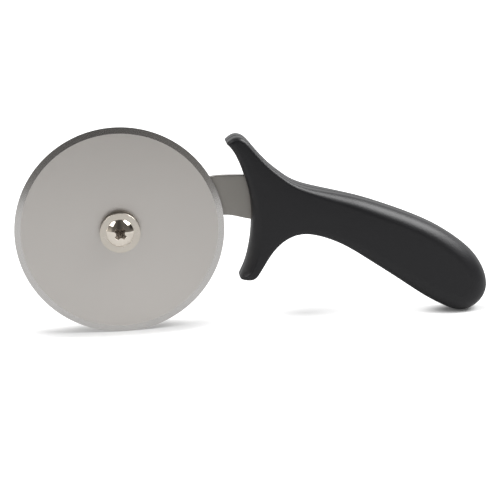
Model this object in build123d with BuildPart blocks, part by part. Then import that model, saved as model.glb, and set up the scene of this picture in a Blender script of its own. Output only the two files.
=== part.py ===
"""Hand pizza cutter: one stainless wheel on a bushed pivot, a flat stainless shank and a moulded handle.

Millimetres. The origin is the wheel's centre on the blade's front face.
+X runs along the handle, +Y through the pivot from the screw's head to the nut, +Z is up.
The cutter stands on the wheel's rim and on the underside of the handle's tail.
"""
import os
from math import radians, tan
from build123d import *

os.makedirs("parts", exist_ok=True)

# Blade wheel
wheel_diameter = 101.6
wheel_thickness = 1.2
bevel_width = 3.05
edge_land = 0.15

# Pivot bush: flange in front of the wheel, spigot through it
flange_diameter = 19.6
flange_height = 4.6
flange_edge_radius = 0.5
spigot_diameter = 9.5
running_clearance = 0.05
side_clearance = 0.1
seat_depth = 0.1
seat_margin = 0.3

# Pivot screw: domed countersunk head with a cross recess
thread_diameter = 6.0
head_diameter = 13.3
head_angle = 90.0
dome_height = 2.5
recess_span = 6.4
recess_arm_width = 1.8
recess_turn = 48.0
recess_depth = 2.6
recess_taper = 12.0
recess_corner_radius = 1.4
fit_clearance = 0.02
hole_clearance = 0.15
thread_end_chamfer = 0.7

# Washers and nut behind the shank
thrust_washer_diameter = 16.0
thrust_washer_thickness = 0.8
rear_washer_diameter = 14.0
rear_washer_thickness = 1.0
lock_washer_diameter = 11.0
lock_washer_thickness = 1.5
lock_washer_split = 1.0
lock_washer_split_angle = 20.0
nut_across_flats = 10.0
nut_hex_height = 4.8
nut_dome_radius = 4.6
nut_end_wall = 1.6
screw_end_gap = 0.6
nut_chamfer_angle = 30.0

# Shank: a flat arm that rises from the pivot and runs into the handle as a tang
shank_thickness = 3.0
shank_eye_radius = 11.0
shank_neck_height = 24.1
shank_neck_length = 64.0
eye_arc_start = 78.0
eye_arc_sweep = 220.0
tang_end_slope = -0.6
tang_length = 66.0
anchor_hole_diameter = 6.0

# Handle: a two-pronged guard that runs into a drooping grip
guard_distance = 53.4
handle_length = 127.2
handle_height = 93.3
guard_tip_width = 15.4
neck_width = 18.0
grip_width = 20.4
guard_edge_radius = 2.3
tip_corner_radius = 2.5

overrun = 20.0

wheel_radius = wheel_diameter / 2
flange_radius = flange_diameter / 2
spigot_radius = spigot_diameter / 2
thread_radius = thread_diameter / 2
head_radius = head_diameter / 2

# The stack along the pivot, front to back
flange_back = seat_depth - side_clearance
flange_front = flange_back - flange_height
spigot_end = wheel_thickness + side_clearance
shank_front = spigot_end + thrust_washer_thickness
shank_back = shank_front + shank_thickness
rear_washer_back = shank_back + rear_washer_thickness
nut_front = rear_washer_back + lock_washer_thickness
nut_back = nut_front + nut_hex_height + nut_dome_radius
thread_end = nut_back - nut_end_wall - screw_end_gap - thread_end_chamfer
handle_middle = shank_front + shank_thickness / 2

# Places on the shank follow its neck: along X by its length, up by its height
# Each row is one point of the swan neck's upper and lower edge
shank_upper_shares = [(0.30, 0.66), (0.52, 0.88), (0.73, 0.995), (0.86, 0.995), (1.0, 0.96)]
shank_lower_shares = [(0.28, -0.33), (0.48, -0.02), (0.66, 0.165), (0.82, 0.18), (1.0, 0.07)]
tang_upper_shares = [(0.30, 0.52), (0.62, 0.24), (0.94, -0.24)]
tang_lower_shares = [(0.24, 0.03), (0.54, -0.24), (0.88, -0.70)]
anchor_hole_shares = [(0.22, 0.31), (0.55, 0.03), (0.80, -0.30)]

# Places on the handle's outline: along X by the handle's length from its front,
# up by its height from the ground that the wheel and the tail stand on
upper_tip_front_share, upper_tip_back_share = (-0.012, 0.986), (0.050, 1.006)
lower_tip_front_share, lower_tip_back_share = (0.020, 0.245), (0.085, 0.247)
guard_front_shares = [(0.035, 0.909), (0.064, 0.796), (0.084, 0.678), (0.0905, 0.555),
                      (0.084, 0.453), (0.064, 0.352)]
guard_top_shares = [(0.246, 0.751), (0.193, 0.800), (0.146, 0.862), (0.099, 0.940)]
guard_under_shares = [(0.112, 0.286), (0.138, 0.342), (0.174, 0.406), (0.213, 0.449), (0.256, 0.473)]
neck_top_share = (0.3035, 0.714)
neck_under_share = (0.3035, 0.477)
neck_top_slope, neck_under_slope = -0.36, -0.06

# Each grip station: its top point, its bottom point, its width and its corner radius
grip_station_shares = [
    ((0.3035, 0.714), (0.3035, 0.477), 0.882, 0.13),
    ((0.360, 0.692), (0.348, 0.463), 0.887, 0.145),
    ((0.425, 0.670), (0.400, 0.431), 0.900, 0.17),
    ((0.515, 0.635), (0.468, 0.378), 0.930, 0.22),
    ((0.640, 0.572), (0.562, 0.289), 0.965, 0.28),
    ((0.760, 0.496), (0.664, 0.186), 0.990, 0.33),
    ((0.860, 0.416), (0.760, 0.095), 1.000, 0.37),
    ((0.938, 0.325), (0.846, 0.022), 0.960, 0.42),
    ((0.981, 0.240), (0.910, -0.001), 0.820, 0.48),
    ((0.998, 0.158), (0.954, 0.018), 0.520, 0.48),
    ((0.995, 0.099), (0.976, 0.055), 0.220, 0.48),
]


def handle_place(share):
    """A point of the handle's side view, from its shares of the handle's length and height."""
    return guard_distance + share[0] * handle_length, share[1] * handle_height - wheel_radius


def side_plane(y):
    """The side-view plane at this depth: its x is +X, its y is +Z, and it faces the screw's head."""
    return Plane.XZ.offset(-y)


def export_piece(builder, label):
    """Names a finished piece and writes it as a STEP file."""
    builder.part.label = label
    export_step(builder.part, "parts/" + label + ".step")


# The wheel: flat sheet, ground to an edge from both sides, with a shallow coined seat for the flange
with BuildPart() as blade_wheel:
    with BuildSketch(Plane.XY):
        with BuildLine():
            bore_radius = spigot_radius + running_clearance
            seat_radius = flange_radius + seat_margin
            bevel_start = wheel_radius - bevel_width
            Polyline(
                (bore_radius, seat_depth),
                (seat_radius, seat_depth),
                (seat_radius, 0),
                (bevel_start, 0),
                (wheel_radius, (wheel_thickness - edge_land) / 2),
                (wheel_radius, (wheel_thickness + edge_land) / 2),
                (bevel_start, wheel_thickness),
                (bore_radius, wheel_thickness),
                close=True,
            )
        make_face()
    revolve(axis=Axis.Y)
export_piece(blade_wheel, "blade_wheel")

# The bush: its countersunk flange takes the screw's head and its spigot carries the wheel
cone_slope = tan(radians(head_angle / 2))
bush_bore_radius = thread_radius + hole_clearance
with BuildPart() as pivot_bush:
    with BuildSketch(Plane.XY):
        with BuildLine():
            seat_mouth = head_radius + fit_clearance * cone_slope
            seat_bottom = flange_front + (seat_mouth - bush_bore_radius) / cone_slope
            Polyline(
                (seat_mouth, flange_front),
                (flange_radius, flange_front),
                (flange_radius, flange_back),
                (spigot_radius, flange_back),
                (spigot_radius, spigot_end),
                (bush_bore_radius, spigot_end),
                (bush_bore_radius, seat_bottom),
                close=True,
            )
        make_face()
    revolve(axis=Axis.Y)
    front_rim = pivot_bush.edges().filter_by(GeomType.CIRCLE).group_by(Axis.Y)[0].sort_by(SortBy.RADIUS)[-1]
    fillet(front_rim, radius=flange_edge_radius)
export_piece(pivot_bush, "pivot_bush")

# The screw: a domed countersunk head, a plain length for the stack and a threaded end in the nut
dome_radius = (head_radius**2 + dome_height**2) / (2 * dome_height)
with BuildPart() as pivot_screw:
    with BuildSketch(Plane.XY):
        with BuildLine():
            apex = flange_front - dome_height
            RadiusArc((head_radius, flange_front), (0, apex), dome_radius)
            Polyline(
                (0, apex),
                (0, thread_end + thread_end_chamfer),
                (thread_radius - thread_end_chamfer, thread_end + thread_end_chamfer),
                (thread_radius, thread_end),
                (thread_radius, flange_front + (head_radius - thread_radius) / cone_slope),
                (head_radius, flange_front),
            )
        make_face()
    revolve(axis=Axis.Y)
    with BuildSketch(side_plane(apex)) as cross:
        Rectangle(recess_span, recess_arm_width, rotation=recess_turn)
        Rectangle(recess_arm_width, recess_span, rotation=recess_turn)
        inner_corners = cross.vertices().sort_by_distance((0, 0, 0))[:4]
        fillet(inner_corners, radius=recess_corner_radius)
    extrude(amount=-recess_depth, taper=recess_taper, mode=Mode.SUBTRACT)
export_piece(pivot_screw, "pivot_screw")


def flat_washer(outer_diameter, front, thickness):
    """A plain washer round the screw, from its front face backwards."""
    with BuildPart() as washer:
        with BuildSketch(side_plane(front)):
            Circle(outer_diameter / 2)
            Circle(thread_radius + hole_clearance, mode=Mode.SUBTRACT)
        extrude(amount=-thickness)
    return washer


thrust_washer = flat_washer(thrust_washer_diameter, spigot_end, thrust_washer_thickness)
export_piece(thrust_washer, "thrust_washer")

rear_washer = flat_washer(rear_washer_diameter, shank_back, rear_washer_thickness)
export_piece(rear_washer, "rear_washer")

# The split spring washer, pressed flat by the nut
with BuildPart() as lock_washer:
    with BuildSketch(side_plane(rear_washer_back)):
        Circle(lock_washer_diameter / 2)
        Circle(thread_radius + hole_clearance, mode=Mode.SUBTRACT)
    extrude(amount=-lock_washer_thickness)
    split_lean = lock_washer_thickness * tan(radians(lock_washer_split_angle))
    with BuildSketch(Plane.XY):
        with BuildLine():
            Polyline(
                (-lock_washer_split / 2, rear_washer_back),
                (lock_washer_split / 2, rear_washer_back),
                (lock_washer_split / 2 + split_lean, nut_front),
                (-lock_washer_split / 2 + split_lean, nut_front),
                close=True,
            )
        make_face()
    extrude(amount=lock_washer_diameter, mode=Mode.SUBTRACT)
export_piece(lock_washer, "lock_washer")

# The cap nut: a hexagon with turned corners under a dome, tapped from the front
with BuildPart() as cap_nut:
    with BuildSketch(side_plane(nut_front)):
        RegularPolygon(nut_across_flats / 2, side_count=6, major_radius=False)
    extrude(amount=-nut_hex_height)
    with BuildSketch(Plane.XY):
        with BuildLine():
            turned_radius = nut_across_flats / 2
            widest_radius = turned_radius + nut_hex_height / 2
            corner_drop = (widest_radius - turned_radius) * tan(radians(nut_chamfer_angle))
            hex_back = nut_front + nut_hex_height
            Polyline(
                (0, nut_front),
                (turned_radius, nut_front),
                (widest_radius, nut_front + corner_drop),
                (widest_radius, hex_back - corner_drop),
                (turned_radius, hex_back),
                (0, hex_back),
                close=True,
            )
        make_face()
    revolve(axis=Axis.Y, mode=Mode.INTERSECT)
    with BuildSketch(Plane.XY):
        with BuildLine():
            Line((0, hex_back), (nut_dome_radius, hex_back))
            CenterArc((0, hex_back), nut_dome_radius, 0, 90)
            Line((0, nut_back), (0, hex_back))
        make_face()
    revolve(axis=Axis.Y)
    with BuildSketch(side_plane(nut_front)):
        Circle(thread_radius + fit_clearance)
    extrude(amount=-(nut_back - nut_end_wall - nut_front), mode=Mode.SUBTRACT)
export_piece(cap_nut, "cap_nut")


def shank_place(share):
    """A point of the swan neck, from its shares of the neck's length and height."""
    return share[0] * shank_neck_length, share[1] * shank_neck_height


def tang_place(share):
    """A point of the tang, from its shares of the tang's length and the neck's height."""
    return shank_neck_length + share[0] * tang_length, share[1] * shank_neck_height


# The shank: blanked from plate, with an eye for the pivot and holes that the handle's plastic fills
with BuildPart() as shank:
    with BuildSketch(side_plane(shank_front)):
        with BuildLine():
            eye = CenterArc((0, 0), shank_eye_radius, eye_arc_start, eye_arc_sweep)
            upper_edge = Spline(
                eye @ 0,
                *[shank_place(share) for share in shank_upper_shares],
                *[tang_place(share) for share in tang_upper_shares],
                tangents=[-(eye % 0), (1, tang_end_slope)],
            )
            lower_edge = Spline(
                eye @ 1,
                *[shank_place(share) for share in shank_lower_shares],
                *[tang_place(share) for share in tang_lower_shares],
                tangents=[eye % 1, (1, tang_end_slope)],
            )
            Line(upper_edge @ 1, lower_edge @ 1)
        make_face()
        Circle(thread_radius + hole_clearance, mode=Mode.SUBTRACT)
        with Locations(*[tang_place(share) for share in anchor_hole_shares]):
            Circle(anchor_hole_diameter / 2, mode=Mode.SUBTRACT)
    extrude(amount=-shank_thickness)
export_piece(shank, "shank")

# The handle: guard and grip in one moulding round the tang
with BuildPart() as handle:
    with BuildSketch(side_plane(handle_middle - neck_width)):
        with BuildLine():
            Spline(
                handle_place(upper_tip_front_share),
                *[handle_place(share) for share in guard_front_shares],
                handle_place(lower_tip_front_share),
            )
            Line(handle_place(lower_tip_front_share), handle_place(lower_tip_back_share))
            under_curve = [handle_place(share) for share in (lower_tip_back_share, *guard_under_shares)]
            Spline(
                *under_curve,
                handle_place(neck_under_share),
                tangents=[Vector(under_curve[1]) - Vector(under_curve[0]), (1, neck_under_slope)],
            )
            Line(handle_place(neck_under_share), handle_place(neck_top_share))
            top_curve = [handle_place(share) for share in (*guard_top_shares, upper_tip_back_share)]
            Spline(
                handle_place(neck_top_share),
                *top_curve,
                tangents=[(-1, -neck_top_slope), Vector(top_curve[-1]) - Vector(top_curve[-2])],
            )
            Line(handle_place(upper_tip_back_share), handle_place(upper_tip_front_share))
        make_face()
    extrude(amount=-2 * neck_width)
    with BuildSketch(Plane.XY.offset(-wheel_radius)):
        with BuildLine():
            neck_x = handle_place(neck_top_share)[0]
            taper = (neck_width - guard_tip_width) / (neck_x - guard_distance)
            start_width = guard_tip_width - taper * overrun
            Polyline(
                (guard_distance - overrun, handle_middle - start_width / 2),
                (neck_x, handle_middle - neck_width / 2),
                (neck_x, handle_middle + neck_width / 2),
                (guard_distance - overrun, handle_middle + start_width / 2),
                close=True,
            )
        make_face()
    extrude(amount=2 * handle_height, mode=Mode.INTERSECT)
    fillet(handle.edges().filter_by(Axis.Y).sort_by(Axis.X)[:4], radius=tip_corner_radius)
    neck_end = handle.faces().sort_by(Axis.X)[-1]
    sides = handle.faces().filter_by(GeomType.PLANE).sort_by(Axis.Y)
    guard_rims = [edge for side in (sides[0], sides[-1]) for edge in side.edges()]
    fillet([edge for edge in guard_rims if edge not in neck_end.edges()], radius=guard_edge_radius)
    for top_share, bottom_share, width_share, corner_share in grip_station_shares:
        top = Vector(handle_place(top_share)[0], handle_middle, handle_place(top_share)[1])
        bottom = Vector(handle_place(bottom_share)[0], handle_middle, handle_place(bottom_share)[1])
        height = (top - bottom).length
        width = width_share * grip_width
        along_grip = (top - bottom).cross(Vector(0, 1, 0))
        across = Plane(origin=(top + bottom) / 2, x_dir=(0, 1, 0), z_dir=along_grip)
        with BuildSketch(across):
            RectangleRounded(width, height, corner_share * min(width, height))
    loft()
    add(shank.part, mode=Mode.SUBTRACT)
export_piece(handle, "handle")
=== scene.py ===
"""Hand pizza cutter: one stainless wheel on a bushed pivot, a flat shank and a black moulded handle.

Metres, in the part's own frame: the origin is the wheel's centre on the blade's front face, +X runs along
the handle, +Y through the pivot from the screw's head to the nut, and +Z is up. The tool's own sizes are
written in millimetres and turned to metres by mm.
"""
from math import atan2, cos, exp, pi, radians, sin, tan

import bmesh
import bpy
import numpy as np
from mathutils import Matrix, Vector


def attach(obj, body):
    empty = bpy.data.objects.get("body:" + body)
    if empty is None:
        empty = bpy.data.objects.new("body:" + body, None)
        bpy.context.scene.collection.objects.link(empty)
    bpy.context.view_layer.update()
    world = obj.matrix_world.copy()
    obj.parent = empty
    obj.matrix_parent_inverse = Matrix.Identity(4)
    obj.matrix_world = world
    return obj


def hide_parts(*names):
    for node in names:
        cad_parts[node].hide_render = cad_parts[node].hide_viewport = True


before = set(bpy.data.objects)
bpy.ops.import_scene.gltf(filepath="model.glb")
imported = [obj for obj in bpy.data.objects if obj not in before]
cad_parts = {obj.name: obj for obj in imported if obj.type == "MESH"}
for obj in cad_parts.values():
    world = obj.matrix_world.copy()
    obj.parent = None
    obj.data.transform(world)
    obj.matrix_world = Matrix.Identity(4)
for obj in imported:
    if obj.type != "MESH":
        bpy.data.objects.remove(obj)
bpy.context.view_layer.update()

# The camera: a long lens, a little to the left of the tool and above it, turned slightly clockwise.
# Its place was found by fitting the wheel's ellipse and the tool's outline in the photograph.
mm = 0.001
aim = Vector((63.17, 3.6, -14.28)) * mm
swing, rise, roll = radians(-5.373), radians(14.480), radians(-2.016)
distance = 892.87 * mm
looking = Vector((-sin(swing) * cos(rise), cos(swing) * cos(rise), -sin(rise)))
level = looking.cross(Vector((0, 0, 1))).normalized()
upright = level.cross(looking)
right = level * cos(roll) + upright * sin(roll)
camera_data = bpy.data.cameras.new("camera")
camera_data.sensor_width = 36.0
camera_data.lens = 130.97
camera_data.clip_end = 50.0
camera = bpy.data.objects.new("camera", camera_data)
bpy.context.scene.collection.objects.link(camera)
camera.matrix_world = Matrix.Translation(aim - looking * distance) @ Matrix(
    (right, right.cross(looking), -looking)).transposed().to_4x4()
bpy.context.scene.camera = camera
bpy.context.scene.view_settings.view_transform = "Standard"


# The table: a white laminate top, wide enough to fill every view. It keeps the soft shadows where the wheel
# and the handle's tail stand, and a faint one under the guard. Past it the backdrop is plain white.
def linear(code):
    """An sRGB colour in hex as Blender's linear red, green, blue and alpha."""
    parts = [int(code[place:place + 2], 16) / 255 for place in (0, 2, 4)]
    return [part / 12.92 if part <= 0.04045 else ((part + 0.055) / 1.055) ** 2.4 for part in parts] + [1.0]


def add_node(tree, kind, settings=(), links=()):
    """Adds a node. Settings are its own properties or its inputs' values. Links feed its inputs, each from a
    socket or from a node's first output."""
    node = tree.nodes.new(kind)
    for name, value in dict(settings).items():
        if isinstance(name, str) and hasattr(node, name):
            setattr(node, name, value)
        else:
            node.inputs[name].default_value = value
    for name, source in dict(links).items():
        tree.links.new(source.outputs[0] if hasattr(source, "outputs") else source, node.inputs[name])
    return node


def new_material(name):
    """An empty node material, its tree and its output node."""
    material = bpy.data.materials.new(name)
    material.use_nodes = True
    material.node_tree.nodes.clear()
    tree = material.node_tree
    return material, tree, add_node(tree, "ShaderNodeOutputMaterial")


def new_piece(name, vertices, faces):
    """A piece made from its points and faces, shown in the scene and shaded smooth."""
    mesh = bpy.data.meshes.new(name)
    mesh.from_pydata(vertices, (), faces)
    mesh.shade_smooth()
    piece = bpy.data.objects.new(name, mesh)
    bpy.context.scene.collection.objects.link(piece)
    return piece


wheel_radius = 50.8
ground = -wheel_radius * mm
table_reach = 4.0
table_corners = [(x * table_reach, y * table_reach, ground) for x, y in ((-1, -1), (1, -1), (1, 1), (-1, 1))]
table = new_piece("table", table_corners, [(0, 1, 2, 3)])
laminate, tree, output = new_material("white_laminate_top")
top = add_node(tree, "ShaderNodeBsdfDiffuse")
where = add_node(tree, "ShaderNodeTexCoord").outputs["Object"]
# The top glows for the camera: painted light that makes it plain white and washes out its shadow, except in
# three oval places: under the wheel, under the tail and, faintly, under the guard. Each row: the middle of a
# place and its half length and half width, in mm, and how faint its shadow is left.
clear = None
for middle_x, middle_y, half_length, half_width, faintness in (
        (0.0, 3.0, 42.5, 13.0, 0.0), (169.5, 3.0, 16.0, 8.0, 0.0), (91.0, 12.5, 56.0, 30.0, 0.87)):
    spot = add_node(tree, "ShaderNodeMapping", {
        "Location": (-middle_x / half_length, -middle_y / half_width, 0.0),
        "Scale": (1 / (half_length * mm), 1 / (half_width * mm), 0.0)}, {"Vector": where})
    away = add_node(tree, "ShaderNodeVectorMath", {"operation": "LENGTH"}, {0: spot})
    away = add_node(tree, "ShaderNodeMath", {"operation": "ADD", 1: faintness}, {0: away.outputs["Value"]})
    clear = away if clear is None else add_node(
        tree, "ShaderNodeMath", {"operation": "MINIMUM"}, {0: clear, 1: away})
near_lift = add_node(tree, "ShaderNodeMapRange", {
    "interpolation_type": "SMOOTHSTEP", "From Min": 0.5, "From Max": 1.6, "To Min": 0.06, "To Max": 0.8},
    {"Value": clear})
from_middle = add_node(tree, "ShaderNodeVectorMath", {"operation": "LENGTH"}, {0: where}).outputs["Value"]
far_lift = add_node(tree, "ShaderNodeMapRange", {
    "From Min": 0.25, "From Max": 1.5, "To Min": 0.0, "To Max": 0.6}, {"Value": from_middle})
lift = add_node(tree, "ShaderNodeMath", {"operation": "ADD"}, {0: near_lift, 1: far_lift})
rays = add_node(tree, "ShaderNodeLightPath")
to_eye = add_node(tree, "ShaderNodeMath", {"operation": "MULTIPLY"},
                  {0: rays.outputs["Is Camera Ray"], 1: lift})
# Polished metal mirrors the top as a darker grey than its own, a painted reflection that is darker still
# towards the handle as painted shade, and gets more painted light from it farther off.
mirrored = add_node(tree, "ShaderNodeMath", {"operation": "MAXIMUM"},
                    {0: rays.outputs["Is Glossy Ray"], 1: rays.outputs["Is Transmission Ray"]})
left_right = add_node(tree, "ShaderNodeSeparateXYZ", {}, {0: where})
to_right = add_node(tree, "ShaderNodeMapRange", {"From Min": 0.02, "From Max": 0.12},
                    {"Value": left_right.outputs["X"]})
mirrored_grey_with_painted_shade = add_node(tree, "ShaderNodeMix", {"data_type": "RGBA", 6: linear("c6c6c6"), 7: linear("b1b1b1")},
                      {0: to_right})
greyed = add_node(tree, "ShaderNodeMix", {"data_type": "RGBA", 6: linear("dadada")},
                  {0: mirrored, 7: mirrored_grey_with_painted_shade.outputs[2]})
tree.links.new(greyed.outputs[2], top.inputs["Color"])
painted_mirror_glow = add_node(tree, "ShaderNodeMapRange", {
    "From Min": 0.1, "From Max": 0.55, "To Min": 0.02, "To Max": 0.20}, {"Value": from_middle})
strength = add_node(tree, "ShaderNodeMath", {"operation": "MULTIPLY_ADD"},
                    {0: mirrored, 1: painted_mirror_glow, 2: to_eye})
glow = add_node(tree, "ShaderNodeEmission", {"Color": linear("ffffff")}, {"Strength": strength})
both = add_node(tree, "ShaderNodeAddShader", {}, {0: top, 1: glow})
tree.links.new(both.outputs[0], output.inputs["Surface"])
table.data.materials.append(laminate)

# The backdrop is white to the eye and to polished metal, and gives an even low fill to everything else.
world = bpy.data.worlds.new("backdrop")
world.use_nodes = True
bpy.context.scene.world = world
tree = world.node_tree
tree.nodes.clear()
rays = add_node(tree, "ShaderNodeLightPath")
seen = add_node(tree, "ShaderNodeMath", {"operation": "MAXIMUM"},
                {0: rays.outputs["Is Camera Ray"], 1: rays.outputs["Is Glossy Ray"]})
seen = add_node(tree, "ShaderNodeMath", {"operation": "MAXIMUM"},
                {0: seen, 1: rays.outputs["Is Transmission Ray"]})
light_level = add_node(tree, "ShaderNodeMapRange", {"To Min": 0.30, "To Max": 1.0}, {"Value": seen})
sky = add_node(tree, "ShaderNodeBackground", {"Color": linear("ffffff")}, {"Strength": light_level})
add_node(tree, "ShaderNodeOutputWorld", {}, {"Surface": sky})

# Two softboxes: a large one on the right and a small one on the left. They light the table and draw the long
# highlights on the handle's edges.
# Each row: turn from straight in front, height angle, and the box's width and depth, all in degrees, then
# its watts.
softbox_distance = 1.1
for box_name, turn, climb, wide, deep, watts in (
        ("softbox_right", 76.0, 45.5, 44.0, 31.0, 16.0),
        ("softbox_left", -56.5, 41.5, 25.0, 27.0, 3.2)):
    turn, climb = radians(turn), radians(climb)
    lamp = bpy.data.lights.new(box_name, "AREA")
    lamp.shape = "RECTANGLE"
    lamp.size = 2 * softbox_distance * tan(radians(wide / 2))
    lamp.size_y = 2 * softbox_distance * tan(radians(deep / 2))
    lamp.energy = watts
    softbox = bpy.data.objects.new(box_name, lamp)
    softbox.visible_camera = False
    bpy.context.scene.collection.objects.link(softbox)
    way = Vector((sin(turn) * cos(climb), -cos(turn) * cos(climb), sin(climb)))
    facing = way.to_track_quat("Z", "Y").to_matrix().to_4x4()
    softbox.matrix_world = Matrix.Translation(way * softbox_distance) @ facing


# Past the table's front edge the studio is dark. A glowing shell seen only in polished metal and gloss paints
# its floor and walls there as a painted reflection: lighter low down and to the left, with painted light
# bright at the far left, and painted shade in front, where the camera stands, and on the right.
def ramp(angle, start, width):
    """An even rise from 0 at the start to 1 a width further on. Start and width are in degrees."""
    return min(max((angle - radians(start)) / radians(width), 0.0), 1.0)


def net_faces(columns, rows, round_columns=False, round_rows=False):
    """Four-cornered faces over a net of points, column after column. What is round closes on itself."""
    return [(column * rows + row, column * rows + (row + 1) % rows,
             (column + 1) % columns * rows + (row + 1) % rows, (column + 1) % columns * rows + row)
            for column in range(columns if round_columns else columns - 1)
            for row in range(rows if round_rows else rows - 1)]


# The table's edge is nearer on the right than on the left. Each row: a turn in degrees and how far the edge
# is from the wheel there, in mm.
table_edge = [(-105.0, 2000.0), (-75.0, 1900.0), (-40.0, 1500.0), (-20.0, 620.0), (0.0, 500.0), (27.0, 500.0),
              (40.0, 420.0), (50.0, 400.0), (75.0, 400.0), (105.0, 600.0)]
edge_turns, edge_distances = [radians(row[0]) for row in table_edge], [row[1] * mm for row in table_edge]
room_radius, room_steps, room_rows, room_floor = 2.2, 60, 16, ground + 0.5 * mm
room_points, room_light = [], []
for step in range(room_steps + 1):
    turn = radians(-105.0 + 210.0 * step / room_steps)
    near = np.interp(turn, edge_turns, edge_distances)
    room_points.append((near * sin(turn), -near * cos(turn), room_floor))
    low_wall = 0.36 * ramp(-turn, 41.0, 12.0) + 3.0 * ramp(-turn, 81.0, 10.0)
    shade = 0.55 * exp(-((turn + radians(6.0)) / radians(18.0)) ** 2) + 0.70 * ramp(turn, 52.0, 12.0)
    room_light.append(0.19 + low_wall)
    for row in range(room_rows + 1):
        climb = radians(100.0) * row / room_rows
        reach = room_radius * cos(climb)
        room_points.append((reach * sin(turn), -reach * cos(turn), room_floor + room_radius * sin(climb)))
        light = 0.11 + 0.05 * exp(-climb / radians(8.0)) + low_wall * exp(-(climb / radians(20.0)) ** 2)
        room_light.append(light * (1 - shade * ramp(climb, 0.0, 10.0)))
dark_room = new_piece("dark_room", room_points, net_faces(room_steps + 1, room_rows + 2))
dark_room.data.attributes.new("room_light", "FLOAT", "POINT").data.foreach_set("value", room_light)
# The shell's glow is seen only in reflections: a painted reflection of the dark room.
room_reflection_glow, tree, output = new_material("painted_dark_room_reflection")
light_here = add_node(tree, "ShaderNodeAttribute", {"attribute_name": "room_light"})
reflection_glow_light = add_node(tree, "ShaderNodeEmission", {"Color": linear("fffaf4")},
                       {"Strength": light_here.outputs["Fac"]})
tree.links.new(reflection_glow_light.outputs[0], output.inputs["Surface"])
dark_room.data.materials.append(room_reflection_glow)
dark_room.visible_camera = dark_room.visible_diffuse = False
dark_room.visible_shadow = dark_room.visible_transmission = False


# The blade wheel: a disc blanked from satin-rolled stainless sheet, ground to an edge from both sides and
# coined with a shallow seat for the bush. Its shape is a turned section, which a node tree sweeps round.
def node_tree(name, sizes):
    """A geometry node tree with named sizes, and its input and output nodes."""
    tree = bpy.data.node_groups.new(name, "GeometryNodeTree")
    tree.interface.new_socket("Geometry", in_out="INPUT", socket_type="NodeSocketGeometry")
    tree.interface.new_socket("Geometry", in_out="OUTPUT", socket_type="NodeSocketGeometry")
    for size in sizes:
        tree.interface.new_socket(size, in_out="INPUT", socket_type="NodeSocketFloat")
    return tree, tree.nodes.new("NodeGroupInput"), tree.nodes.new("NodeGroupOutput")


def grow(name, tree, sizes):
    """Runs a node tree with these sizes, in mm, and keeps its result as a plain mesh piece."""
    seed = new_piece(name, [(0, 0, 0)], [])
    modifier = seed.modifiers.new("tree", "NODES")
    modifier.node_group = tree
    sockets = {item.name: item.identifier for item in tree.interface.items_tree if item.in_out == "INPUT"}
    for size, value in sizes.items():
        modifier[sockets[size]] = value * mm
    return settle(seed)


def settle(piece):
    """Makes a piece's modifiers part of its mesh and takes them off."""
    made = bpy.data.meshes.new_from_object(piece.evaluated_get(bpy.context.evaluated_depsgraph_get()))
    piece.modifiers.clear()
    name, first = piece.name, piece.data
    piece.data = made
    bpy.data.meshes.remove(first)
    made.name = name
    return piece


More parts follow.
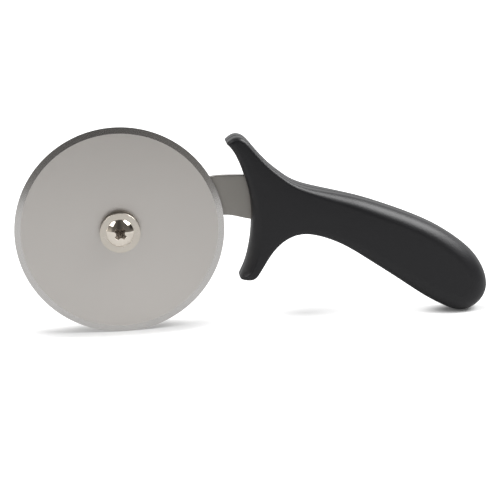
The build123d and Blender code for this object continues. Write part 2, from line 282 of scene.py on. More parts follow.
def turned_tree(name, sizes, rows, steps, finish, crease):
    """A tree that turns a closed section about the pivot. Rows are pairs of radius and depth, each a list of
    (size, share) to add up, and steps is how many times the section is repeated round the circle."""
    tree, start, end = node_tree(name, sizes)

    def total(terms):
        sum_so_far = None
        for size, share in terms:
            part = add_node(tree, "ShaderNodeMath", {"operation": "MULTIPLY", 1: share},
                            {0: start.outputs[size]})
            if sum_so_far is None:
                sum_so_far = part.outputs[0]
            else:
                sum_so_far = add_node(tree, "ShaderNodeMath", {"operation": "ADD"},
                                      {0: sum_so_far, 1: part}).outputs[0]
        return sum_so_far

    closed, count = rows + rows[:1], len(rows)
    net = add_node(tree, "GeometryNodeMeshGrid",
                   {"Size X": 1.0, "Size Y": 1.0, "Vertices X": steps + 1, "Vertices Y": len(closed)})
    parts = add_node(tree, "ShaderNodeSeparateXYZ", {}, {0: add_node(tree, "GeometryNodeInputPosition")})
    turn = add_node(tree, "ShaderNodeMath", {"operation": "MULTIPLY_ADD", 1: 2 * pi, 2: pi},
                    {0: parts.outputs["X"]})
    row = add_node(tree, "ShaderNodeMath", {
        "operation": "MULTIPLY_ADD", 1: float(count), 2: count / 2 + 0.25}, {0: parts.outputs["Y"]})
    number = add_node(tree, "FunctionNodeFloatToInt", {"rounding_mode": "FLOOR"}, {0: row})
    choice = add_node(tree, "GeometryNodeIndexSwitch", {"data_type": "VECTOR"})
    while len(choice.index_switch_items) < len(closed):
        choice.index_switch_items.new()
    tree.links.new(number.outputs[0], choice.inputs["Index"])
    for place_in_row, (radius, depth) in enumerate(closed):
        pair = add_node(tree, "ShaderNodeCombineXYZ", {}, {"X": total(radius), "Y": total(depth)})
        tree.links.new(pair.outputs[0], choice.inputs[str(place_in_row)])
    picked = add_node(tree, "ShaderNodeSeparateXYZ", {}, {0: choice})
    sides = []
    for operation in ("COSINE", "SINE"):
        wave = add_node(tree, "ShaderNodeMath", {"operation": operation}, {0: turn})
        sides.append(add_node(tree, "ShaderNodeMath", {"operation": "MULTIPLY"},
                              {0: wave, 1: picked.outputs["X"]}))
    turned = add_node(tree, "ShaderNodeCombineXYZ", {},
                      {"X": sides[0], "Y": picked.outputs["Y"], "Z": sides[1]})
    shaped = add_node(tree, "GeometryNodeSetPosition", {}, {"Geometry": net, "Position": turned})
    merged = add_node(tree, "GeometryNodeMergeByDistance", {"Distance": 0.001 * mm}, {"Geometry": shaped})
    smooth = add_node(tree, "GeometryNodeSetShadeSmooth", {"domain": "FACE"}, {"Geometry": merged})
    angle = add_node(tree, "GeometryNodeInputMeshEdgeAngle")
    sharp = add_node(tree, "FunctionNodeCompare", {"operation": "GREATER_THAN", "B": radians(crease)},
                     {"A": angle.outputs["Unsigned Angle"]})
    creased = add_node(tree, "GeometryNodeSetShadeSmooth", {"domain": "EDGE", "Shade Smooth": False},
                       {"Geometry": smooth, "Selection": sharp})
    real = add_node(tree, "GeometryNodeRealizeInstances", {}, {"Geometry": creased})
    faced = add_node(tree, "GeometryNodeSetMaterial", {"Material": finish}, {"Geometry": real})
    tree.links.new(faced.outputs[0], end.inputs["Geometry"])
    return tree


def face_outwards(piece):
    """Turns every face of a closed mesh outwards, after its doubles are joined."""
    shell = bmesh.new()
    shell.from_mesh(piece.data)
    bmesh.ops.remove_doubles(shell, verts=shell.verts, dist=0.0005 * mm)
    bmesh.ops.recalc_face_normals(shell, faces=shell.faces)
    shell.to_mesh(piece.data)
    shell.free()
    return piece


def soften_shading(piece, crease):
    """Shades a piece smooth but keeps its flats flat, and edges sharper than this many degrees crisp."""
    piece.data.shade_smooth()
    piece.data.set_sharp_from_angle(angle=radians(crease))
    flats = piece.modifiers.new("flats", "WEIGHTED_NORMAL")
    flats.keep_sharp = True
    return settle(piece)


def from_pivot(tree, where):
    """How far a place is from the pivot's line."""
    parts = add_node(tree, "ShaderNodeSeparateXYZ", {}, {0: where})
    level_place = add_node(tree, "ShaderNodeCombineXYZ", {},
                           {"X": parts.outputs["X"], "Z": parts.outputs["Z"]})
    return add_node(tree, "ShaderNodeVectorMath", {"operation": "LENGTH"}, {0: level_place}).outputs["Value"]


# Satin-rolled stainless: straight rolling grain 0.2 mm wide, drawn 0.7 mm wide and 29 mm long so that it
# shows, under slow clouds 22 mm across. The ground bevel has fine rings 0.35 mm apart. It is smoother than
# the sheet, and mirrors more sharply.
bevel_width = 3.05
satin, tree, output = new_material("satin_rolled_stainless_with_ground_bevel")
where = add_node(tree, "ShaderNodeTexCoord").outputs["Object"]
grain_space = add_node(tree, "ShaderNodeMapping", {"Scale": (0.035 / mm, 0.9 / mm, 1.4 / mm)},
                       {"Vector": where})
grain = add_node(tree, "ShaderNodeTexNoise", {"Scale": 1.0, "Detail": 3.0}, {"Vector": grain_space})
cloud = add_node(tree, "ShaderNodeTexNoise", {"Scale": 0.045 / mm, "Detail": 2.0}, {"Vector": where})
on_bevel = add_node(tree, "ShaderNodeMath", {
    "operation": "GREATER_THAN", 1: (wheel_radius - bevel_width) * mm}, {0: from_pivot(tree, where)})
rings = add_node(tree, "ShaderNodeTexWave", {
    "wave_type": "RINGS", "rings_direction": "Y", "Scale": 0.9 / mm, "Distortion": 1.5, "Detail": 2.0},
    {"Vector": where})
sheet_rough = add_node(tree, "ShaderNodeMapRange", {
    "From Min": 0.3, "From Max": 0.7, "To Min": 0.34, "To Max": 0.39}, {"Value": cloud.outputs["Fac"]})
rough = add_node(tree, "ShaderNodeMix", {"data_type": "FLOAT", 3: 0.20}, {0: on_bevel, 2: sheet_rough})
relief = add_node(tree, "ShaderNodeMix", {"data_type": "FLOAT"},
                  {0: on_bevel, 2: grain.outputs["Fac"], 3: rings.outputs["Fac"]})
bump = add_node(tree, "ShaderNodeBump", {"Strength": 0.05, "Distance": 0.02 * mm}, {"Height": relief})
sheet_tint = add_node(tree, "ShaderNodeMix", {"data_type": "RGBA", 6: linear("d6d2cd"), 7: linear("dbd7d3")},
                      {0: cloud.outputs["Fac"]})
tint = add_node(tree, "ShaderNodeMix", {"data_type": "RGBA", 7: linear("d4d2d0")},
                {0: on_bevel, 6: sheet_tint.outputs[2]})
steel = add_node(tree, "ShaderNodeBsdfPrincipled", {"Metallic": 0.95},
                 {"Base Color": tint.outputs[2], "Roughness": rough, "Normal": bump})
tree.links.new(steel.outputs[0], output.inputs["Surface"])

blade_tree = turned_tree("ground_blade", (
    "Rim radius", "Thickness", "Bevel width", "Edge land", "Bore radius", "Seat radius", "Seat depth"), [
    ([("Bore radius", 1)], [("Seat depth", 1)]),
    ([("Seat radius", 1)], [("Seat depth", 1)]),
    ([("Seat radius", 1)], [("Seat depth", 0)]),
    ([("Rim radius", 1), ("Bevel width", -1)], [("Thickness", 0)]),
    ([("Rim radius", 1)], [("Thickness", 0.5), ("Edge land", -0.5)]),
    ([("Rim radius", 1)], [("Thickness", 0.5), ("Edge land", 0.5)]),
    ([("Rim radius", 1), ("Bevel width", -1)], [("Thickness", 1)]),
    ([("Bore radius", 1)], [("Thickness", 1)])], 256, satin, 6.0)
blade = face_outwards(grow("blade_wheel_ground", blade_tree, {
    "Rim radius": wheel_radius, "Thickness": 1.2, "Bevel width": bevel_width, "Edge land": 0.15,
    "Bore radius": 4.8, "Seat radius": 10.1, "Seat depth": 0.1}))
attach(blade, "wheel")
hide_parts("blade_wheel")


# The pivot bush: a turned steel collar with bright nickel plating. Its flange holds the wheel on, its
# spigot is the wheel's bearing, and its countersunk mouth takes the screw's head. Every turned edge is
# broken.
def turned_piece(name, section, steps=96):
    """A closed mesh turned about the pivot from a section in millimetres: (radius, depth, edge rounding)."""
    outline = []
    for place, (radius, depth, rounding) in enumerate(section):
        if not rounding:
            outline.append((radius, depth))
            continue
        corner = Vector((radius, depth))
        before = (Vector(section[place - 1][:2]) - corner).normalized()
        after = (Vector(section[(place + 1) % len(section)][:2]) - corner).normalized()
        half = before.angle(after) / 2
        middle = corner + (before + after).normalized() * rounding / sin(half)
        first = corner + before * rounding / tan(half) - middle
        last = corner + after * rounding / tan(half) - middle
        sweep = first.angle_signed(last)
        for share in (0, 0.2, 0.4, 0.6, 0.8, 1):
            turn = -sweep * share
            outline.append((middle.x + first.x * cos(turn) - first.y * sin(turn),
                            middle.y + first.x * sin(turn) + first.y * cos(turn)))
    vertices = []
    for step in range(steps):
        turn = 2 * pi * step / steps
        vertices += [(radius * mm * cos(turn), depth * mm, radius * mm * sin(turn))
                     for radius, depth in outline]
    return face_outwards(new_piece(name, vertices, net_faces(steps, len(outline), True, True)))


# Nickel plating over steel: a warm near-mirror. The turned bush keeps fine turning rings 0.45 mm apart under
# its plate and is a little duller than the cold-headed screw and nut. A haze of 2 mm patches varies its
# gloss.
def nickel_plate(name, tone, smoothest, roughest, ring_relief):
    """A nickel finish with its colour, its range of roughness and how strongly its turning rings show.
    Gives the material, its tree and its shader."""
    material, tree, output = new_material(name)
    where = add_node(tree, "ShaderNodeTexCoord").outputs["Object"]
    rings = add_node(tree, "ShaderNodeTexWave", {
        "wave_type": "RINGS", "rings_direction": "Y", "Scale": 0.7 / mm, "Distortion": 2.0, "Detail": 2.0},
        {"Vector": where})
    haze = add_node(tree, "ShaderNodeTexNoise", {"Scale": 0.5 / mm, "Detail": 3.0}, {"Vector": where})
    rough = add_node(tree, "ShaderNodeMapRange", {"To Min": smoothest, "To Max": roughest},
                     {"Value": haze.outputs["Fac"]})
    bump = add_node(tree, "ShaderNodeBump", {"Strength": ring_relief, "Distance": 0.01 * mm},
                    {"Height": rings.outputs["Fac"]})
    plate = add_node(tree, "ShaderNodeBsdfPrincipled", {"Metallic": 1.0, "Base Color": linear(tone)},
                     {"Roughness": rough, "Normal": bump})
    tree.links.new(plate.outputs[0], output.inputs["Surface"])
    return material, tree, plate


flange_front, flange_radius, mouth_radius, mouth_depth = -4.6, 9.8, 6.67, 3.52
spigot_radius, spigot_end, hole_radius = 4.75, 1.3, 3.15
bush = turned_piece("pivot_bush_turned", [
    (mouth_radius, flange_front, 0.06), (flange_radius, flange_front, 0.22), (flange_radius, 0.0, 0.1),
    (spigot_radius, 0.0, 0.1), (spigot_radius, spigot_end, 0.15), (hole_radius, spigot_end, 0.1),
    (hole_radius, flange_front + mouth_depth, 0.1)])
soften_shading(bush, 28)
turned_tone = "dfd8cd"
turned_nickel, tree, plate = nickel_plate("turned_nickel_plate", turned_tone, 0.25, 0.32, 0.05)
# The flange's side is painted a darker grey: painted shade for the dark band that the side wall shows.
where = add_node(tree, "ShaderNodeTexCoord").outputs["Object"]
outside = add_node(tree, "ShaderNodeMath", {"operation": "GREATER_THAN", 1: (flange_radius - 0.1) * mm},
                   {0: from_pivot(tree, where)})
depths = add_node(tree, "ShaderNodeSeparateXYZ", {}, {0: where})
behind = add_node(tree, "ShaderNodeMapRange", {
    "From Min": (flange_front + 0.15) * mm, "From Max": (flange_front + 0.45) * mm},
    {"Value": depths.outputs["Y"]})
painted_shade_on_side = add_node(tree, "ShaderNodeMath", {"operation": "MULTIPLY"}, {0: outside, 1: behind})
tint = add_node(tree, "ShaderNodeMix", {"data_type": "RGBA", 6: linear(turned_tone), 7: linear("a39b90")},
                {0: painted_shade_on_side})
tree.links.new(tint.outputs[2], plate.inputs["Base Color"])
bush.data.materials.append(turned_nickel)
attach(bush, "tool")
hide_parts("pivot_bush")

# The pivot screw: a cold-headed machine screw with a low domed head and a cross recess, nickel plated.
# The recess is punched, so its edges are rolled over. Its floor is duller than the dome, and painted dark as
# shade.
dome_radius, dome_height, head_radius = 10.09, 2.5, 6.65
thread_radius, screw_end, end_chamfer, pole = 3.0, 14.1, 0.7, 0.002
apex, head_back = flange_front - dome_height, flange_front + head_radius - thread_radius
screw_section = [(dome_radius * sin(turn), apex + dome_radius * (1 - cos(turn)), 0)
                 for turn in np.linspace(pole, atan2(head_radius, dome_radius - dome_height), 20)]
screw_section += [
    (thread_radius, head_back, 0), (thread_radius, screw_end, 0),
    (thread_radius - end_chamfer, screw_end + end_chamfer, 0), (pole, screw_end + end_chamfer, 0)]
screw = turned_piece("pivot_screw_domed", screw_section, 128)

# The recess's punch narrows in three rings to a point. Each ring: its depth from the dome's top, how far its
# four arms reach and half their width. Fillets between the arms are a share of that half width.
recess_span, arm_width, recess_depth, recess_turn, fillet_share = 7.1, 2.1, 3.0, radians(48), 1.3
punch_rings = ((-0.6, recess_span / 2 + 0.35, arm_width / 2 + 0.1),
               (0.3, recess_span / 2 - 0.1, arm_width / 2), (recess_depth - 0.9, 1.6, 0.45))
punch_points = []
for depth, tip, side in punch_rings:
    arm = [(tip, -side), (tip, side)]
    arm += [(side + fillet_share * (1 - sin(bend)) * side, side + fillet_share * (1 - cos(bend)) * side)
            for bend in np.linspace(0, pi / 2, 5)]
    for quarter in range(4):
        turn = recess_turn + quarter * pi / 2
        punch_points += [((along * cos(turn) - over * sin(turn)) * mm, (apex + depth) * mm,
                          (along * sin(turn) + over * cos(turn)) * mm) for along, over in arm]
around = len(punch_points) // len(punch_rings)
punch_points.append((0.0, (apex + recess_depth) * mm, 0.0))
punch_faces = net_faces(len(punch_rings), around, round_rows=True)
punch_faces += [(2 * around + place, 2 * around + (place + 1) % around, 3 * around)
                for place in range(around)]
punch_faces.append(tuple(range(around)))
punch = face_outwards(new_piece("recess_punch", punch_points, punch_faces))
cut = screw.modifiers.new("recess", "BOOLEAN")
cut.operation, cut.solver, cut.object = "DIFFERENCE", "EXACT", punch
rolled = screw.modifiers.new("rolled_edges", "BEVEL")
rolled.width, rolled.segments = 0.06 * mm, 3
rolled.limit_method, rolled.angle_limit = "ANGLE", radians(32)
settle(screw)
bpy.data.objects.remove(punch)
screw.data.shade_smooth()
screw.data.set_sharp_from_angle(angle=radians(40))

# The recess is painted dark in blotches 0.7 mm wide: painted shade, so it mirrors little. It is all that lies
# inside the dome's sphere.
bright_tone = "f3ebdf"
nickel_with_painted_recess_shade, tree, plate = nickel_plate(
    "bright_nickel_plate_with_painted_recess_shade", bright_tone, 0.06, 0.10, 0.01)
where = add_node(tree, "ShaderNodeTexCoord").outputs["Object"]
from_centre = add_node(tree, "ShaderNodeVectorMath", {
    "operation": "DISTANCE", 1: (0.0, (apex + dome_radius) * mm, 0.0)}, {0: where})
inside = add_node(tree, "ShaderNodeMapRange", {
    "From Min": (dome_radius - 0.05) * mm, "From Max": (dome_radius - 0.01) * mm,
    "To Min": 1.0, "To Max": 0.0}, {"Value": from_centre.outputs["Value"]})
shade_blotches = add_node(tree, "ShaderNodeTexNoise", {"Scale": 1.4 / mm, "Detail": 2.0}, {"Vector": where})
shade_blotch_mask = add_node(tree, "ShaderNodeMapRange", {"From Min": 0.42, "From Max": 0.58},
                {"Value": shade_blotches.outputs["Fac"]})
recess_shade_tone = add_node(tree, "ShaderNodeMix", {"data_type": "RGBA", 6: linear("463d35"), 7: linear("978a7b")},
               {0: shade_blotch_mask})
tint = add_node(tree, "ShaderNodeMix", {"data_type": "RGBA", 6: linear(bright_tone)},
                {0: inside, 7: recess_shade_tone.outputs[2]})
dulled = add_node(tree, "ShaderNodeMix", {"data_type": "FLOAT", 3: 0.6},
                  {0: inside, 2: plate.inputs["Roughness"].links[0].from_socket})
bare = add_node(tree, "ShaderNodeMapRange", {"To Min": 1.0, "To Max": 0.3}, {"Value": inside})
tree.links.new(tint.outputs[2], plate.inputs["Base Color"])
tree.links.new(dulled.outputs[0], plate.inputs["Roughness"])
tree.links.new(bare.outputs[0], plate.inputs["Metallic"])
screw.data.materials.clear()
screw.data.materials.append(nickel_with_painted_recess_shade)
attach(screw, "tool")
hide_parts("pivot_screw")

# Two flat washers: blanked from stainless strip, tumbled so that their edges are soft and their faces have a
# fine 1 mm mottle. One keeps the wheel clear of the shank, the other spreads the nut's load on its back.
tumbled, tree, output = new_material("tumbled_stainless_washer")
where = add_node(tree, "ShaderNodeTexCoord").outputs["Object"]
mottle = add_node(tree, "ShaderNodeTexNoise", {"Scale": 0.9 / mm, "Detail": 4.0}, {"Vector": where})
rough = add_node(tree, "ShaderNodeMapRange", {"To Min": 0.24, "To Max": 0.42},
                 {"Value": mottle.outputs["Fac"]})
bump = add_node(tree, "ShaderNodeBump", {"Strength": 0.08, "Distance": 0.02 * mm},
                {"Height": mottle.outputs["Fac"]})
strip = add_node(tree, "ShaderNodeBsdfPrincipled", {"Metallic": 1.0, "Base Color": linear("d6d3ce")},
                 {"Roughness": rough, "Normal": bump})
tree.links.new(strip.outputs[0], output.inputs["Surface"])
washer_tree = turned_tree("flat_washer", (
    "Outer radius", "Inner radius", "Front", "Thickness", "Edge break"), [
    ([("Inner radius", 1), ("Edge break", 1)], [("Front", 1)]),
    ([("Outer radius", 1), ("Edge break", -1)], [("Front", 1)]),
    ([("Outer radius", 1), ("Edge break", -0.3)], [("Front", 1), ("Edge break", 0.3)]),
    ([("Outer radius", 1)], [("Front", 1), ("Edge break", 1)]),
    ([("Outer radius", 1)], [("Front", 1), ("Thickness", 1), ("Edge break", -1)]),
    ([("Outer radius", 1), ("Edge break", -0.3)], [("Front", 1), ("Thickness", 1), ("Edge break", -0.3)]),
    ([("Outer radius", 1), ("Edge break", -1)], [("Front", 1), ("Thickness", 1)]),
    ([("Inner radius", 1), ("Edge break", 1)], [("Front", 1), ("Thickness", 1)]),
    ([("Inner radius", 1)], [("Front", 1), ("Thickness", 1), ("Edge break", -1)]),
    ([("Inner radius", 1)], [("Front", 1), ("Edge break", 1)])], 96, tumbled, 50.0)
thrust_thickness, shank_thickness, rear_thickness = 0.8, 3.0, 1.0
shank_front = spigot_end + thrust_thickness
shank_back = shank_front + shank_thickness
for washer_name, node, outer_radius, front, thickness in (
        ("thrust_washer_flat", "thrust_washer", 8.0, spigot_end, thrust_thickness),
        ("rear_washer_flat", "rear_washer", 7.0, shank_back, rear_thickness)):
    washer = soften_shading(face_outwards(grow(washer_name, washer_tree, {
        "Outer radius": outer_radius, "Inner radius": hole_radius, "Front": front, "Thickness": thickness,
        "Edge break": 0.12})), 50)
    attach(washer, "tool")
    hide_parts(node)

# The lock washer: one turn of square stainless wire, cut through on a slant, which the nut presses flat.
# It is tumbled like the flat washers.
lock_front, lock_thickness, lock_radius, lock_steps = shank_back + rear_thickness, 1.5, 5.5, 72
inner_break, outer_break, split, split_lean = 0.1, 0.12, 1.0, lock_thickness * tan(radians(20))
section = [
    (hole_radius + inner_break, 0.0), (lock_radius - outer_break, 0.0), (lock_radius, outer_break),
    (lock_radius, lock_thickness - outer_break), (lock_radius - outer_break, lock_thickness),
    (hole_radius + inner_break, lock_thickness), (hole_radius, lock_thickness - inner_break),
    (hole_radius, inner_break)]
lock_points = []
for step in range(lock_steps + 1):
    for radius, depth in section:
        lean = split_lean * depth / lock_thickness
        first, last = atan2(split / 2 + lean, radius), 2 * pi + atan2(lean - split / 2, radius)
        turn = first + (last - first) * step / lock_steps
        lock_points.append((radius * mm * sin(turn), (lock_front + depth) * mm, radius * mm * cos(turn)))
rows = len(section)
lock_faces = net_faces(lock_steps + 1, rows, round_rows=True)
lock_faces += [tuple(range(rows)), tuple(range(lock_steps * rows, (lock_steps + 1) * rows))]
lock = face_outwards(new_piece("lock_washer_split", lock_points, lock_faces))
soften_shading(lock, 50)
lock.data.materials.append(tumbled)
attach(lock, "tool")
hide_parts("lock_washer")

# The cap nut: a cold-formed hexagon under a dome, nickel plated. Its corners are turned off at 30 degrees,
# which gives the curved line where each flat meets the chamfer.
nut_front, hex_height, half_flats, nut_dome = lock_front + lock_thickness, 4.8, 5.0, 4.6
hex_back, nut_chamfer, nut_edge, nut_steps = nut_front + hex_height, radians(30), 0.15, 144
bore_depth, bore_break = 5.6, 0.3
nut_points = []
for step in range(nut_steps):
    turn = 2 * pi * step / nut_steps
    off_flat = (turn + pi / 6) % (pi / 3) - pi / 6
    reach = half_flats / cos(off_flat)
    drop = (reach - half_flats) * tan(nut_chamfer)
    column = [
        (thread_radius, nut_front + bore_depth), (thread_radius, nut_front + bore_break),
        (thread_radius + bore_break, nut_front), (half_flats - nut_edge, nut_front),
        (reach - nut_edge * 0.3, nut_front + drop + nut_edge * 0.3), (reach, nut_front + drop + nut_edge),
        (reach, hex_back - drop - nut_edge), (reach - nut_edge * 0.3, hex_back - drop - nut_edge * 0.3),
        (half_flats - nut_edge, hex_back)]
    column += [(nut_dome * cos(climb), hex_back + nut_dome * sin(climb))
               for climb in np.linspace(0, 1.55, 18)]
    nut_points += [(radius * mm * sin(turn), depth * mm, radius * mm * cos(turn)) for radius, depth in column]
rows = len(column)
nut_faces = net_faces(nut_steps, rows, round_columns=True)
nut_faces += [tuple(range(0, nut_steps * rows, rows)), tuple(range(rows - 1, nut_steps * rows, rows))]
nut = face_outwards(new_piece("cap_nut_domed", nut_points, nut_faces))
soften_shading(nut, 24)
nut.data.materials.append(nickel_plate("bright_nickel_plate", bright_tone, 0.06, 0.10, 0.01)[0])
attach(nut, "tool")
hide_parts("cap_nut")


# The shank: a flat arm blanked from 3 mm stainless plate, with an eye for the pivot, a swan neck that rises
# behind the wheel and a tang that the handle is moulded round. Its edges are barrelled smooth after blanking.
def through_curve(points, start_way, end_way, steps=12):
    """A smooth curve through every point, leaving and arriving in these directions."""
    line = [np.array(point, dtype=float) for point in points]
    ways = [np.array(start_way) / np.linalg.norm(start_way)]
    for before, here, after in zip(line, line[1:], line[2:]):
        near, far = np.linalg.norm(here - before), np.linalg.norm(after - here)
        ways.append(((here - before) / near * far + (after - here) / far * near) / (near + far))
    ways.append(np.array(end_way) / np.linalg.norm(end_way))
    places = []
    for here, after, way_out, way_in in zip(line, line[1:], ways, ways[1:]):
        length = np.linalg.norm(after - here)
        for share in np.linspace(0, 1, steps, endpoint=False):
            square, cube = share**2, share**3
            places.append((2 * cube - 3 * square + 1) * here + (cube - 2 * square + share) * length * way_out
                          + (3 * square - 2 * cube) * after + (cube - square) * length * way_in)
    return places + [line[-1]]


neck_length, neck_height, tang_length, eye_radius = 64.0, 24.1, 66.0, 11.0


def shank_place(x, z):
    """A place on the shank: x is a share of the neck's length, and past 1 of the tang's, z of its height."""
    return neck_length + (x - 1) * tang_length if x > 1 else x * neck_length, z * neck_height


upper_shares = [(1.94, -0.24), (1.62, 0.24), (1.30, 0.52), (1.0, 0.96), (0.86, 0.995), (0.73, 0.995),
                (0.52, 0.88), (0.30, 0.66)]
lower_shares = [(0.28, -0.33), (0.48, -0.02), (0.66, 0.165), (0.82, 0.18), (1.0, 0.07), (1.24, 0.03),
                (1.54, -0.24), (1.88, -0.70)]
tang_tip = (neck_length + tang_length - 0.8, -0.44 * neck_height)
eye_turns = np.radians(np.linspace(78, 298, 49))
eye_points = [(eye_radius * cos(turn), eye_radius * sin(turn)) for turn in eye_turns]
eye_out, eye_in = [(-sin(turn), cos(turn)) for turn in (eye_turns[0], eye_turns[-1])]
upper_edge = [tang_tip] + [shank_place(*share) for share in upper_shares] + eye_points[:1]
lower_edge = eye_points[-1:] + [shank_place(*share) for share in lower_shares]
shank_outline = through_curve(upper_edge, (-1, 0.6), eye_out) + eye_points[1:-1]
shank_outline += through_curve(lower_edge, eye_in, (1, -0.6))
anchor_radius, shank_edge = 3.0, 0.3
holes = [(0.0, 0.0, hole_radius)]
holes += [(*shank_place(x, z), anchor_radius) for x, z in ((1.22, 0.31), (1.55, 0.03), (1.80, -0.30))]
rims = [shank_outline] + [[(x + radius * cos(turn), z + radius * sin(turn))
                           for turn in np.linspace(0, 2 * pi, 40, endpoint=False)] for x, z, radius in holes]
blank = bpy.data.curves.new("shank_blank", "CURVE")
blank.dimensions, blank.fill_mode = "2D", "BOTH"
blank.extrude = (shank_thickness / 2 - shank_edge) * mm
blank.bevel_depth, blank.bevel_resolution, blank.offset = shank_edge * mm, 2, -shank_edge * mm
for rim in rims:
    line = blank.splines.new("POLY")
    line.points.add(len(rim) - 1)
    for point, (x, z) in zip(line.points, rim):
        point.co = (x * mm, z * mm, 0, 1)
    line.use_cyclic_u = True
shank = bpy.data.objects.new("shank_blanked", blank)
bpy.context.scene.collection.objects.link(shank)
plate = bpy.data.meshes.new_from_object(shank.evaluated_get(bpy.context.evaluated_depsgraph_get()))
bpy.data.objects.remove(shank)
to_middle = Matrix.Translation((0, (shank_front + shank_thickness / 2) * mm, 0))
plate.transform(to_middle @ Matrix.Rotation(pi / 2, 4, "X"))
shank = bpy.data.objects.new("shank_blanked", plate)
bpy.context.scene.collection.objects.link(shank)
soften_shading(face_outwards(shank), 40)

# Barrelled stainless plate: rolled grain along the arm, drawn 0.8 mm wide and softened by tumbling, with a
# 6 mm mottle. It is a little duller than the wheel.
barrelled, tree, output = new_material("barrelled_stainless_plate")
where = add_node(tree, "ShaderNodeTexCoord").outputs["Object"]
grain_space = add_node(tree, "ShaderNodeMapping", {
    "Rotation": (0.0, 0.15, 0.0), "Scale": (0.06 / mm, 0.9 / mm, 1.3 / mm)}, {"Vector": where})
grain = add_node(tree, "ShaderNodeTexNoise", {"Scale": 1.0, "Detail": 3.0}, {"Vector": grain_space})
mottle = add_node(tree, "ShaderNodeTexNoise", {"Scale": 0.16 / mm, "Detail": 3.0}, {"Vector": where})
rough = add_node(tree, "ShaderNodeMapRange", {"To Min": 0.42, "To Max": 0.50},
                 {"Value": mottle.outputs["Fac"]})
bump = add_node(tree, "ShaderNodeBump", {"Strength": 0.1, "Distance": 0.02 * mm},
                {"Height": grain.outputs["Fac"]})
plate_steel = add_node(tree, "ShaderNodeBsdfPrincipled", {"Metallic": 1.0, "Base Color": linear("a4a19c")},
                       {"Roughness": rough, "Normal": bump})
tree.links.new(plate_steel.outputs[0], output.inputs["Surface"])
shank.data.materials.clear()
shank.data.materials.append(barrelled)
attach(shank, "tool")
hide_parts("shank")


# The handle: one moulding of black polypropylene round the tang, with a two-pronged finger guard in front and
# a grip that droops and swells to its tail. Its sides are nearly flat, with small edges on the guard that
# grow into full round ones on the grip.
def fair_curve(points, steps):
    """A smooth closed curve guided by these points: a uniform cubic B-spline."""
    guide = np.array(points[-1:] + points + points[:2])
    share = np.linspace(0, 1, steps, endpoint=False)[:, None]
    weights = ((1 - share) ** 3 / 6, (3 * share**3 - 6 * share**2 + 4) / 6,
               (-3 * share**3 + 3 * share**2 + 3 * share + 1) / 6, share**3 / 6)
    return np.vstack([sum(weight * guide[run + place] for place, weight in enumerate(weights))
                      for run in range(len(points))])


# Each row is a point that guides the outline, in mm from the wheel's centre, and the edge's radius there.
# The outline was measured in the photograph.
handle_outline = [
    (57.15, -26.26, 4.8), (58.7, -23.3, 5.8), (60.2, -19.9, 6.2), (61.5, -15.9, 6.3), (62.65, -11.38, 6.2),
    (63.6, -6.4, 5.8), (64.2, -1.0, 5.2), (64.4, 4.5, 4.5), (64.2, 9.5, 3.9), (63.8, 14.0, 3.3),
    (62.7, 19.0, 2.8), (61.3, 24.5, 2.6), (59.5, 29.8, 2.4), (57.2, 35.0, 2.4), (54.9, 38.5, 2.3),
    (53.3, 40.0, 2.2), (53.0, 40.8, 2.1), (53.63, 41.16, 2.1), (54.99, 42.32, 2.1), (57.01, 43.39, 2.1),
    (59.55, 43.40, 2.1), (61.82, 42.36, 2.0), (63.99, 40.08, 1.9), (66.9, 36.2, 1.8), (70.44, 31.83, 1.7),
    (74.83, 27.03, 1.6), (79.42, 23.28, 1.5), (84.23, 19.27, 1.6), (91.1, 16.4, 2.2), (99.28, 14.41, 3.6),
    (108.2, 12.2, 4.9), (117.74, 9.61, 5.8), (127.3, 6.1, 6.4), (136.8, 2.3, 6.7), (146.4, -1.9, 7.0),
    (155.6, -6.6, 7.5), (163.5, -11.9, 8.2), (170.6, -17.5, 8.8), (176.0, -23.6, 9.2), (179.8, -30.8, 9.4),
    (181.1, -37.2, 9.4), (180.4, -42.0, 9.4), (177.8, -46.2, 9.3), (174.0, -49.2, 9.2), (169.6, -50.8, 9.1),
    (165.0, -50.6, 8.9), (159.9, -48.4, 8.5), (150.49, -43.12, 7.7), (141.3, -36.2, 6.9), (131.8, -29.1, 6.1),
    (122.18, -22.26, 5.3), (112.9, -15.4, 4.5), (105.0, -10.8, 3.8), (97.5, -7.7, 3.2), (90.5, -6.1, 2.8),
    (84.5, -6.8, 2.6), (79.3, -9.5, 2.5), (74.8, -13.5, 2.4), (71.2, -18.6, 2.4), (68.0, -23.8, 2.4),
    (65.9, -27.0, 2.5), (64.2, -28.2, 2.6), (62.2, -28.5, 2.8), (59.9, -28.20, 3.0), (57.75, -27.85, 4.0)]
edge_line = fair_curve(handle_outline, 16)
outline, edge_radii = edge_line[:, :2], edge_line[:, 2]
corners = [int(np.argmin(np.hypot(outline[:, 0] - x, outline[:, 1] - z)))
           for x, z in ((58.3, -27.6), (53.3, 40.8), (180.3, -35.0), (172.4, -49.9))]


def share_points(start, end, shares):
    """Places on the outline between two of its corners, at these shares of the length between them."""
    past_end = end + 1 if end > start else end + 1 + len(outline)
    run = np.take(outline, range(start, past_end), axis=0, mode="wrap")
    reach = np.concatenate([[0], np.cumsum(np.hypot(*np.diff(run, axis=0).T))])
    return np.column_stack([np.interp(shares, reach / reach[-1], run[:, axis]) for axis in (0, 1)])


def edge_spacing(count, crowding=0.97):
    """Shares from 0 to 1 that crowd towards both ends, where the moulding's edges curve."""
    even = np.linspace(0, 1, count)
    return (1 - crowding) * even + crowding * (1 - np.cos(pi * even)) / 2


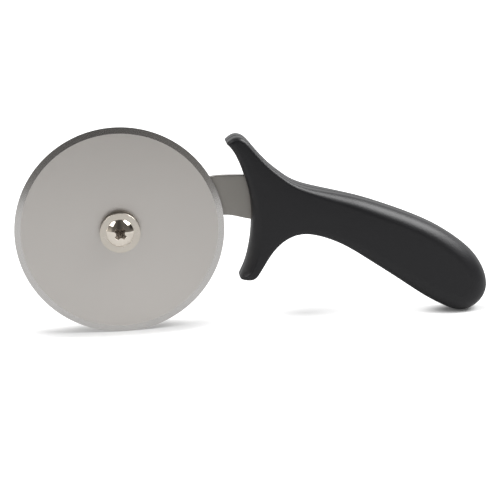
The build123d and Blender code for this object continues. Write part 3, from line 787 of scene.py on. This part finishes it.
# A flat net is stretched between the outline's four sides. Each of its points then rises from the middle by
# the handle's half width there, less the edge's rounding near the outline and a slight crown on the flat.
columns, lines = 200, 72
along, upward = edge_spacing(columns), edge_spacing(lines)
front_edge = share_points(corners[0], corners[1], upward)
top_edge = share_points(corners[1], corners[2], along)
end_edge = share_points(corners[2], corners[3], upward)[::-1]
under_edge = share_points(corners[3], corners[0], 1 - along[::-1])[::-1]
u, v = along[:, None, None], upward[None, :, None]
net = ((1 - v) * under_edge[:, None] + v * top_edge[:, None] + (1 - u) * front_edge[None] + u * end_edge[None]
       - (1 - u) * (1 - v) * front_edge[0] - (1 - u) * v * front_edge[-1] - u * (1 - v) * end_edge[0]
       - u * v * end_edge[-1])
flat_net = net.reshape(-1, 2)
away, rounding = np.full(len(flat_net), np.inf), np.zeros(len(flat_net))
for start, run, radius in zip(outline, np.roll(outline, -1, axis=0) - outline, edge_radii):
    gap = flat_net - start
    share = np.clip(gap @ run / (run @ run), 0, 1)[:, None]
    reach = np.hypot(*(gap - share * run).T)
    nearer = reach < away
    away[nearer], rounding[nearer] = reach[nearer], radius
away, rounding = away.reshape(columns, lines), rounding.reshape(columns, lines)
away[0], away[-1], away[:, 0], away[:, -1] = 0, 0, 0, 0
half_width = np.interp(net[..., 0], (53.4, 92.0, 108.0, 120.0, 135.0, 150.0, 163.0),
                       (7.7, 9.0, 9.1, 9.5, 9.85, 10.1, 10.2))
crown_height, crown_reach, middle = 0.35, 5.0, 3.6
depth_in = np.clip(away / rounding, 0, 1)
crown = crown_height * (1 - np.exp(-away / crown_reach))
height = half_width - crown_height - rounding + rounding * np.sqrt(1 - (1 - depth_in) ** 2) + crown
handle_points, handle_faces = [], []
per_side = columns * lines
for number, side in enumerate((-1, 1)):
    handle_points += [(x * mm, (middle + side * rise_out) * mm, z * mm)
                      for (x, z), rise_out in zip(flat_net, height.reshape(-1))]
    for column in range(columns - 1):
        first = number * per_side + column * lines
        handle_faces += [(first + line, first + lines + line, first + lines + line + 1, first + line + 1)
                         for line in range(lines - 1)]

# The rim between the two sides, with a hair of flash round its middle where the mould's halves meet.
# Each row: its share of the way to the side, its share of the flash's width and its height on it, in mm.
flash_width, flash_height = 0.2, 0.07
flash_rows = ((-0.65, 0, 0), (-0.35, 0, 0), (0, -0.5, 0), (0, 0, flash_height), (0, 0.5, 0), (0.35, 0, 0),
              (0.65, 0, 0))
rim = [column * lines for column in range(columns)]
rim += [(columns - 1) * lines + line for line in range(1, lines)]
rim += [column * lines + lines - 1 for column in range(columns - 2, -1, -1)]
rim += range(lines - 2, 0, -1)
rim_line = np.array([(handle_points[number][0], handle_points[number][2]) for number in rim])
rim_way = np.roll(rim_line, -1, axis=0) - np.roll(rim_line, 1, axis=0)
rim_out = np.column_stack([rim_way[:, 1], -rim_way[:, 0]]) / np.hypot(*rim_way.T)[:, None]
rim_rows = [rim]
for share, across, lift in flash_rows:
    rim_rows.append(range(len(handle_points), len(handle_points) + len(rim)))
    handle_points += [
        (x + out_x * lift * mm,
         middle * mm + share * (middle * mm - handle_points[number][1]) + across * flash_width * mm,
         z + out_z * lift * mm) for number, (x, z), (out_x, out_z) in zip(rim, rim_line, rim_out)]
rim_rows.append([per_side + number for number in rim])
for near, far in zip(rim_rows, rim_rows[1:]):
    handle_faces += [(near[place - 1], near[place], far[place], far[place - 1]) for place in range(len(rim))]
handle = face_outwards(new_piece("handle_moulded", handle_points, handle_faces))

# Black polypropylene from a finely spark-eroded mould: a soft even sheen broken by a grain of about 0.3 mm,
# which is drawn at 0.7 mm so that it shows, and slow flow marks 25 mm long.
plastic, tree, output = new_material("moulded_black_polypropylene")
where = add_node(tree, "ShaderNodeTexCoord").outputs["Object"]
spark = add_node(tree, "ShaderNodeTexNoise", {"Scale": 1.43 / mm, "Detail": 3.0, "Roughness": 0.6},
                 {"Vector": where})
flow = add_node(tree, "ShaderNodeTexNoise", {"Scale": 0.04 / mm, "Detail": 2.0}, {"Vector": where})
rough = add_node(tree, "ShaderNodeMapRange", {"To Min": 0.39, "To Max": 0.45}, {"Value": flow.outputs["Fac"]})
shade = add_node(tree, "ShaderNodeMix", {"data_type": "RGBA", 6: linear("0a0a0f"), 7: linear("0f0f13")},
                 {0: flow.outputs["Fac"]})
bump = add_node(tree, "ShaderNodeBump", {"Strength": 0.7, "Distance": 0.05 * mm},
                {"Height": spark.outputs["Fac"]})
black = add_node(tree, "ShaderNodeBsdfPrincipled", {"Specular IOR Level": 0.52},
                 {"Base Color": shade.outputs[2], "Roughness": rough, "Normal": bump})
tree.links.new(black.outputs[0], output.inputs["Surface"])
handle.data.materials.append(plastic)
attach(handle, "tool")
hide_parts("handle")
